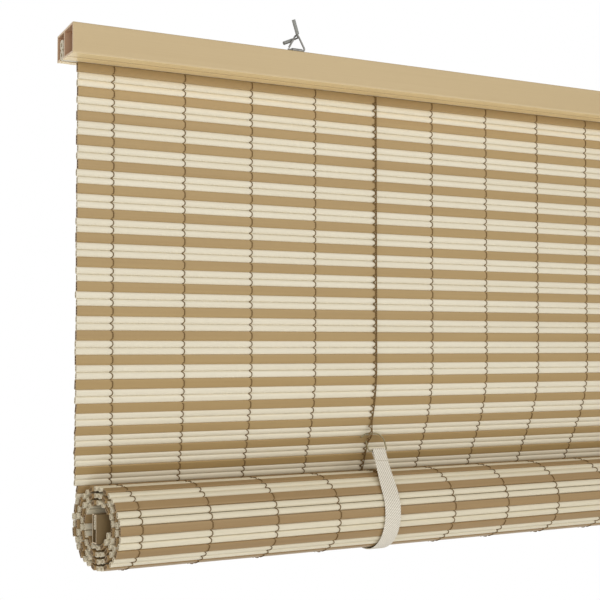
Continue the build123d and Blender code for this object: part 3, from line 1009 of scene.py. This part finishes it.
@dataclass
class Twines:
    """The twines that hold the slats, on both faces of the mat, and the two thicker ladder cords.

    Each string slants a little down the lean and lies further over on the roll, less so to the right.
    On each slat it bows to the right; the balance is the share of the bow left of the string's own line.
    """

    mat: SlatMat
    route: MatRoute = ROUTE
    count: int = 16
    margin: float = 37 * MM
    radius: float = 0.5 * MM
    bow: float = 2.7 * MM
    bow_balance: float = 0.75
    bow_powers: tuple[float, float] = (6.0, 3.0)
    least_lift: float = 0.5
    lean_shift: float = 20.4 * MM
    lean_step: float = 1.8 * MM
    roll_shift: float = 27 * MM
    roll_step: float = 1.5 * MM
    ladder_places: tuple[int, int] = (4, 11)
    ladder_strand: float = 0.6 * MM
    ladder_bow: float = 3.4 * MM
    ladder_balance: float = 0.9
    ladder_aside: float = 1.2 * MM
    strap_from_cord: float = 5.2 * MM
    catch_lift: float = 8.15 * MM
    catch_reach: float = 9 * MM
    roll_end: float = 280.0
    join_length: float = 150 * MM
    samples: int = 9
    sides: int = 5

    def string_x(self, place: np.ndarray) -> np.ndarray:
        """X of strings on the straight drop, counted from the left."""
        step = (self.mat.length - 2 * self.margin) / (self.count - 1)
        return -self.mat.length / 2 + self.margin + place * step

    def strap_x(self, place: int) -> float:
        """X of the strap that is caught on one ladder cord."""
        mat_y = self.route.place(np.array(self.route.catch_run))[0]
        return float(self.hanging_x(place, mat_y)) + self.strap_from_cord

    def hanging_x(self, place: np.ndarray, y: np.ndarray) -> np.ndarray:
        """X of strings where the hanging mat has this Y; they slant with the slats' creep."""
        share = (y - self.route.plane_y) / (self.route.nip[0] - self.route.plane_y)
        return self.string_x(place) + (self.lean_shift - self.lean_step * place) * share

    def roll_x(self, place: np.ndarray, y: np.ndarray) -> np.ndarray:
        """X of strings where the mat on the roll has this Y."""
        creep = self.route.creep_slope * (y - self.route.rear_center[0] + self.route.outer_turn)
        return self.string_x(place) + self.roll_shift - self.roll_step * place - creep

    def outer_turn_end(self) -> float:
        """Distance along the mat to the end of the roll's outer turn."""
        rear = self.route.outer_turn * math.radians(self.route.bow_angle + 90)
        front = (self.route.outer_turn - self.route.turn_pitch / 2) * math.radians(self.roll_end - 90)
        return self.route.hanging_length + rear + front

    def slat_run(self, start: float, end: float) -> tuple[np.ndarray, np.ndarray, np.ndarray]:
        """Follow the slats' faces: on each slat the twine bows sideways and lies on its outline.

        The bow is 1 - |t|^n and the lift (1 - |t|^p)^(1/p), with t from -1 to 1 over the slat.

        Args:
            start: Distance along the mat where the run starts.
            end: Distance where it ends.
        Returns:
            Distance, sideways share from 0 to 1 and lift above the mat's middle, as flat arrays.
        """
        tan = self.mat.tan_places()
        cream = self.mat.cream_places()
        middles = np.concatenate([tan, cream])
        order = np.argsort(middles)
        chosen = order[(middles[order] > start) & (middles[order] < end)]
        middles, broad = middles[chosen, None], (chosen < len(tan))[:, None]
        share = np.linspace(-1, 1, self.samples)[None]
        half = np.where(broad, self.mat.tan.half_width, self.mat.cream.half_width)
        power = np.where(broad, self.mat.tan.power, self.mat.cream.power)
        side = 1 - np.abs(share) ** np.where(broad, *self.bow_powers)
        lift = np.maximum((1 - np.abs(share) ** power) ** (1 / power), self.least_lift)
        return (middles + half * share).ravel(), side.ravel(), self.mat.tan.half_thickness * lift.ravel()

    def face_paths(self, places: list[int], face: Face, start: float, end: float) -> np.ndarray:
        """Centre lines of the twines on one face of the mat.

        On the window side of the hanging mat the twines run over to meet those of the roll.

        Args:
            places: The strings, counted from the left.
            face: The side of the mat.
            start: Distance along the mat where they start.
            end: Distance where they end.
        Returns:
            Array of strings by points by three.
        """
        run, side, lift = self.slat_run(start, end)
        y, z = self.route.beside(run, face.value * (lift + self.radius))
        string = np.array(places)[:, None]
        hanging = start < self.route.hanging_length
        over = self.hanging_x if hanging else self.roll_x
        x = over(string, self.route.place(run)[0][None]) + self.bow * (side - self.bow_balance)
        if hanging and face is Face.WINDOW:
            nip_y = self.route.nip[0]
            joined = smooth((run - self.route.hanging_length) / self.join_length + 1)
            x = x + joined * (self.roll_x(string, nip_y) - self.hanging_x(string, nip_y))
        return np.stack([x, np.broadcast_to(y, x.shape), np.broadcast_to(z, x.shape)], -1)

    def build(self) -> list[Piece]:
        """Build the twines and the ladder cords in place of their CAD strips.

        Returns:
            The pieces.
        """
        places = [place for place in range(self.count) if place not in self.ladder_places]
        roll = self.route.hanging_length
        stretches = ((Face.ROOM, 0, roll), (Face.WINDOW, 0, roll), (Face.WINDOW, roll, self.outer_turn_end()))
        runs = [self.face_paths(places, *one) for one in stretches]
        twines = self.twine_piece("twines", runs, self.radius)
        settle(twines, "twine", "warp_strings", TWINE.material())
        pieces = [twines]
        cord = LADDER.material()
        for side, place in zip(SIDES, self.ladder_places):
            piece = self.twine_piece(f"ladder_twist_{side}", self.ladder_runs(place), self.ladder_strand)
            settle(piece, "twine", f"ladder_cord_{side}", cord)
            pieces.append(piece)
        return pieces

    def twine_piece(self, name: str, runs: list[np.ndarray], radius: float) -> Piece:
        """Make one piece of round tubes along several runs of twine, with a UV map in millimetres.

        Args:
            name: Name of the piece.
            runs: Arrays of paths by points by three.
            radius: Radius of the twine.
        Returns:
            The piece.
        """
        points, faces, marks, base = [], [], [], 0
        for paths in runs:
            corners, quads = tubes(paths, radius, self.sides)
            length = run_lengths(paths)[..., None] / MM
            around, length = np.broadcast_arrays(np.arange(self.sides) / self.sides, length)
            marks.append(np.stack([around, length], -1).reshape(-1, 2))
            points.append(corners)
            faces.append(quads + base)
            base += len(corners)
        piece = mesh_piece(name, np.concatenate(points), np.concatenate(faces), sharp=80)
        set_uv(piece, np.concatenate(marks))
        return piece

    def ladder_runs(self, place: int) -> list[np.ndarray]:
        """Centre lines of a ladder cord: one strand bows at each slat and one runs straight over it.

        Both are lifted over the wire of the strap's catch.

        Args:
            place: The string, counted from the left.
        Returns:
            Arrays of paths by points by three.
        """
        strand = self.ladder_strand
        rest = self.mat.tan.half_thickness + strand
        runs = []
        for start, end, face in (
            (0, self.route.hanging_length, Face.ROOM),
            (self.route.hanging_length, self.outer_turn_end(), Face.WINDOW),
        ):
            run, side, _ = self.slat_run(start, end)
            middle, lift = self.strap_x(place), 0.0
            if face is Face.ROOM:
                middle = self.hanging_x(place, self.route.place(run)[0])
                from_catch = (run - self.route.catch_run) / self.catch_reach
                lift = (self.catch_lift - rest) * np.exp(-(from_catch**2))
            bowed = self.ladder_bow * (side - self.ladder_balance)
            straight = np.full(len(run), self.ladder_aside)
            for aside, over in ((bowed, 0.0), (straight, strand / 2)):
                y, z = self.route.beside(run, face.value * (rest + lift + over))
                runs.append(np.stack([middle + aside, y, z], -1)[None])
        return runs


# Straps


@dataclass
class Strap:
    """A webbing strap: sewn round the wire catch, down the roll's front, under it and up its rear."""

    side: str
    x: float
    route: MatRoute = ROUTE
    half_width: float = 10 * MM
    half_thickness: float = 0.6 * MM
    offset: float = 4.75 * MM
    catch_offset: float = -5.1 * MM
    catch_height: float = 21 * MM
    fold: float = 13 * MM
    loop_radius: float = 1.7 * MM
    layer_space: float = 1.05
    tail: float = 75.5 * MM
    neck: float = 0.82
    neck_length: float = 42 * MM
    edge_power: float = 8.0
    stitches: int = 7
    stitch_span: float = 0.92
    stitch_gap: float = 0.08
    stitch_dip: float = 0.6
    thread: float = 0.28 * MM

    @property
    def front_radius(self) -> float:
        """Radius of the webbing's middle on the roll's front."""
        return self.route.outer_turn - self.route.turn_pitch / 2 + self.offset

    @property
    def catch_top(self) -> np.ndarray:
        """Top of the wire catch, as Y and Z."""
        return np.array(self.route.beside(np.array(self.route.catch_run), self.catch_offset))

    @property
    def touch(self) -> float:
        """Angle in radians on the roll's front where the straight stretch from the wire touches it."""
        reach = self.catch_top - self.route.front_center
        return math.atan2(reach[1], reach[0]) + math.acos(self.front_radius / np.linalg.norm(reach))

    @property
    def pull(self) -> np.ndarray:
        """Direction of the strap's pull on the catch, as Y and Z."""
        return np.array([-math.sin(self.touch), math.cos(self.touch)])

    @property
    def rear(self) -> np.ndarray:
        """Direction of the strap's rear side below the wire, as Y and Z."""
        return np.array([-self.pull[1], self.pull[0]])

    @property
    def seam(self) -> np.ndarray:
        """The line of sewing below the wire, as Y and Z."""
        return self.catch_top + (self.catch_height + self.fold) * self.pull

    def sew(self) -> Piece:
        """Sew a row of stitches across the strap, on its room side.

        Returns:
            The stitches.
        """
        place = self.seam - self.rear * (2 * self.half_thickness + self.thread / 2)
        reach = self.neck * self.half_width * self.stitch_span
        edges = np.linspace(-reach, reach, self.stitches + 1)
        share = np.linspace(self.stitch_gap, 1 - self.stitch_gap, 7)
        x = self.x + edges[:-1, None] + np.diff(edges)[:, None] * share
        dip = self.stitch_dip * self.thread * np.abs(2 * share - 1) ** 4
        y, z = (np.broadcast_to(at + way * dip, x.shape) for at, way in zip(place, self.rear))
        points, faces = tubes(np.stack([x, y, z], -1), self.thread, sides=6)
        piece = mesh_piece(f"sewing_{self.side}", points, faces, sharp=80)
        set_uv(piece, points[:, [0, 2]] / MM)
        settle(piece, "webbing", None, SEWING.material())
        return piece

    def line(self) -> np.ndarray:
        """The webbing's middle line, as Y and Z, from the sewn end round the wire and on to the tail.

        It is straight from the wire to the roll, follows the roll's two arcs and runs up the lean. The
        stretches leave out the shares at their ends where another one starts.

        Returns:
            Array of points.
        """
        layer = self.layer_space * self.half_thickness * self.rear
        turn = np.linspace(math.pi / 2, 1.5 * math.pi, 17)[:, None]
        loop = self.loop_radius * (self.pull * np.cos(turn) + self.rear * np.sin(turn))
        loop = self.catch_top + self.catch_height * self.pull + loop
        front = arc(self.route.front_center, self.front_radius, self.touch, 1.5 * math.pi, 48)
        lean = math.radians(self.route.bow_angle)
        rear = arc(self.route.rear_center, self.route.outer_turn + self.offset, -math.pi / 2, lean, 40)[1:]
        lines = [
            stretch(self.seam + layer, loop[0], 0, 0.94, 12),
            loop,
            stretch(loop[-1], self.seam - layer, 0.06, 1, 12),
            stretch(self.seam, front[0], 0.08, 0.98, 24),
            front,
            rear,
            stretch(rear[-1], rear[-1] - self.tail * self.route.lean_way, 0.03, 1, 24),
        ]
        return np.concatenate(lines)

    def build(self) -> Piece:
        """Carry the webbing's flat section along its line.

        Returns:
            The strap.
        """
        line = self.line()
        along = unit(np.gradient(line, axis=0))
        normal = np.stack([-along[:, 1], along[:, 0]], -1)
        section = self.section()
        length = run_lengths(line)
        width = self.neck + (1 - self.neck) * smooth((length - 2 * self.fold) / self.neck_length)
        x = self.x + width[:, None] * section[None, :, 0]
        yz = line[:, None] + normal[:, None] * section[None, :, 1:2]
        rows, columns = x.shape
        left = np.arange(columns // 2 - 1)
        cap = np.stack([left, left + 1, columns - 2 - left, columns - 1 - left], -1)
        faces = np.concatenate([grid_faces(rows, columns), cap[:, ::-1], cap + (rows - 1) * columns])
        points = np.concatenate([x[..., None], yz], -1).reshape(-1, 3)
        piece = mesh_piece(f"webbing_{self.side}", points, faces, sharp=60)
        marks = np.stack(np.broadcast_arrays(section[None, :, 0], length[:, None]), -1)
        set_uv(piece, marks.reshape(-1, 2) / MM)
        settle(piece, "webbing", f"strap_{self.side}", WEBBING.material())
        return piece

    def section(self) -> np.ndarray:
        """Flat section with soft edges, as points across and through the webbing.

        The upper side runs one way and the lower side back, v = h (1 - |s|^p)^(1/2) with s from -1 to 1,
        and a little of the height is left at the edges.

        Returns:
            Array of points.
        """
        share = np.linspace(-1, 1, 21)
        height = self.half_thickness * np.sqrt(np.maximum(1 - np.abs(share) ** self.edge_power, 0.02))
        upper = np.stack([self.half_width * share, height], -1)
        lower = np.stack([self.half_width * share, -height], -1)[::-1]
        return np.concatenate([upper, lower])


# Whole scene


@dataclass
class Hardware:
    """CAD nodes that show as they are, with their finishes by the start of their names."""

    finishes: dict[str, Finish] = field(
        default_factory=lambda: {
            "headrail": RAIL_VINYL,
            # painted shade: the bottom rail wears the darkened core vinyl
            "bottom_rail": CORE_VINYL_SHADED,
            "strap_hook": STEEL,
            "hanger_clip": ZINC,
            "clip_rivet": ZINC,
            "hanger_bail": ZINC,
            "hanger_hook": ZINC,
            "hook_sleeve": TUBING,
        }
    )

    def dress(self) -> int:
        """Give each shown CAD node its finish.

        Returns:
            The number of nodes dressed.
        """
        made = {finish.name: finish.material() for finish in set(self.finishes.values())}
        dressed = 0
        for name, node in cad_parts.items():
            for start, finish in self.finishes.items():
                if name.startswith(start):
                    node.data.materials.clear()
                    node.data.materials.append(made[finish.name])
                    dressed += 1
        return dressed


@dataclass(frozen=True)
class Lamp:
    """A square area lamp, with the length of its side in metres and its power in watts."""

    name: str
    place: Triple
    size: float
    power: float


LAMPS = (
    Lamp("key", (-0.7, -1.9, 0.25), 1.2, 10.5),
    Lamp("fill", (0.6, -1.9, 0.3), 1.2, 9.0),
    Lamp("side", (-2.4, -0.9, -0.1), 1.2, 8.5),
    Lamp("rear", (0.5, 2.3, 0.3), 2.0, 24.0),
)


@dataclass
class Studio:
    """Camera at the photograph's place, soft light, a pale floor far below and a white surround."""

    lens: float = 72.0
    sensor: float = 36.0
    target: Triple = (-361 * MM, -13 * MM, -242.4 * MM)
    azimuth: float = -28.37
    elevation: float = -2.2
    distance: float = 1289 * MM
    floor_z: float = -1.25
    floor_radius: float = 1.9
    floor_hole: float = 0.001
    floor_sides: int = 64
    surround_light: float = 0.32

    def build(self) -> None:
        """Place the camera, the lamps, the floor and the surround."""
        bpy.context.scene.view_settings.view_transform = "Standard"
        self.camera()
        for lamp in LAMPS:
            self.light(lamp)
        self.floor()
        self.surround()

    def camera(self) -> None:
        """Place the camera."""
        turn, lift = math.radians(self.azimuth), math.radians(self.elevation)
        way = Vector((math.sin(turn) * math.cos(lift), -math.cos(turn) * math.cos(lift), math.sin(lift)))
        lens = bpy.data.cameras.new("photo_camera")
        lens.lens = self.lens
        lens.sensor_width = self.sensor
        lens.clip_end = 50.0
        camera = bpy.data.objects.new("photo_camera", lens)
        camera.location = Vector(self.target) + way * self.distance
        camera.rotation_euler = (-way).to_track_quat("-Z", "Y").to_euler()
        bpy.context.scene.collection.objects.link(camera)
        bpy.context.scene.camera = camera

    def light(self, lamp: Lamp) -> None:
        """Place a lamp that points at the shade.

        Args:
            lamp: The lamp.
        """
        light = bpy.data.lights.new(lamp.name, "AREA")
        light.size = lamp.size
        light.energy = lamp.power
        placed = bpy.data.objects.new(lamp.name, light)
        placed.location = lamp.place
        way = Vector(self.target) - Vector(lamp.place)
        placed.rotation_euler = way.to_track_quat("-Z", "Y").to_euler()
        bpy.context.scene.collection.objects.link(placed)

    def floor(self) -> None:
        """Lay a round pale floor below the shade."""
        turn = 2 * math.pi * np.arange(self.floor_sides) / self.floor_sides
        rim = np.stack([np.cos(turn), np.sin(turn), np.zeros(self.floor_sides)], -1)
        rings = rim[None] * np.array([self.floor_hole, self.floor_radius])[:, None, None]
        points = (rings + np.array([0, 0, self.floor_z])).reshape(-1, 3)
        floor = mesh_piece("floor", points, grid_faces(2, self.floor_sides))
        floor.data.materials.append(FloorFinish("pale_floor").material())

    def surround(self) -> None:
        """Make the surround white to the eye and to reflections, and softer as a light."""
        world = bpy.data.worlds.new("white_surround")
        world.use_nodes = True
        bpy.context.scene.world = world
        bench = NodeBench(world.node_tree)
        ray = bench.add("ShaderNodeLightPath").outputs
        seen = bench.math("MAXIMUM", ray["Is Camera Ray"], ray["Is Glossy Ray"])
        seen = bench.math("MAXIMUM", seen, ray["Is Transmission Ray"])
        strength = bench.linear(seen, 1 - self.surround_light, self.surround_light)
        bench.fill(world.node_tree.nodes["Background"], {"Color": (1.0, 1.0, 1.0), "Strength": strength})


def main() -> None:
    """Build the shade's looks in order and report each piece."""
    logging.basicConfig(level=logging.INFO, format="%(message)s")
    log.info("%d CAD nodes dressed", Hardware().dress())
    mat = SlatMat()
    twines = Twines(mat)
    pieces = mat.build() + LockRods().build() + twines.build()
    for side, place in zip(SIDES, twines.ladder_places):
        strap = Strap(side, twines.strap_x(place))
        pieces += [strap.build(), strap.sew()]
    for piece in pieces:
        log.info("%s: %d faces", piece.name, len(piece.data.polygons))
    Studio().build()


if __name__ == "__main__":
    main()
